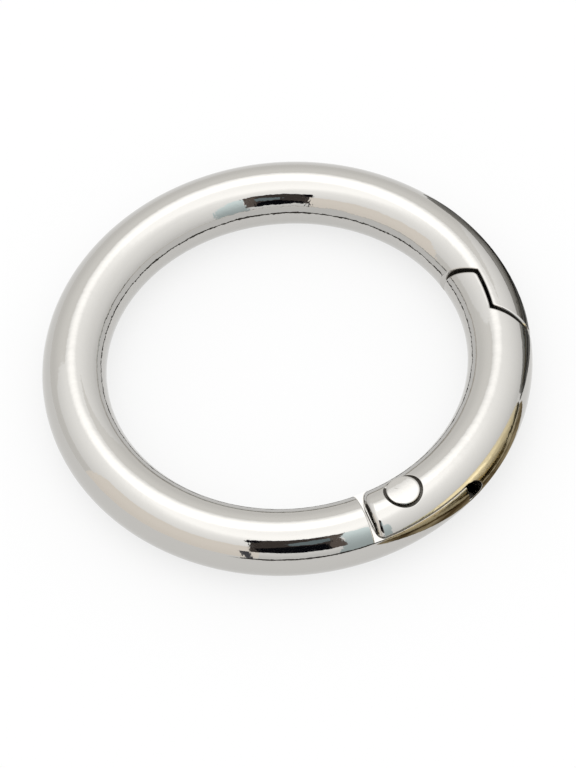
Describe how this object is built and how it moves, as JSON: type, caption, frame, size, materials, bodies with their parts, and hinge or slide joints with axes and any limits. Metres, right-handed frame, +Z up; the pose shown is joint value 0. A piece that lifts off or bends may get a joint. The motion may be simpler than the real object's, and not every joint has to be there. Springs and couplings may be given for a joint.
{
  "type": "spring o-ring",
  "caption": "Round spring-gate ring: a C-shaped ring of round stock closed by a short curved gate that swings inwards on a flush rivet and springs shut.",
  "frame": {"origin": "centre of the ring, on the plane it lies on", "axes": "+Z up, across the flat-lying ring; +X from the centre towards the latch's lip; the hinge rivet lies 61.8 degrees clockwise of +X seen from above"},
  "size_m": [0.038, 0.038, 0.005],
  "materials": {
    "plated_casting": "bright nickel plate on polished zinc casting",
    "plated_rivet": "bright nickel plate, ground flush and polished",
    "bare_steel": "turned",
    "spring_wire": "drawn wire"
  },
  "bodies": {
    "ring": {"ring_body": "plated_casting"},
    "swing_gate": {"gate": "plated_casting", "hinge_pin": "plated_rivet", "gate_spring": "spring_wire"},
    "plunger": {"spring_plunger": "bare_steel"}
  },
  "joints": [
    {"name": "gate_hinge", "type": "hinge", "parent": "ring", "child": "swing_gate", "pos_m": [0.00768, -0.01432, 0.0025], "axis": [0, 0, 1], "range_deg": [0, 25], "stiffness_Nm_per_rad": 0.0032, "springref_deg": -97.4},
    {"name": "plunger_slide", "type": "slide", "parent": "swing_gate", "child": "plunger", "axis": [0.8171, 0.5764, 0], "range_m": [0, 0.0004], "deforming": ["gate_spring"]}
  ],
  "couplings": [
    {"joint": "plunger_slide", "follows": "gate_hinge", "m_per_rad": 0.0009}
  ]
}
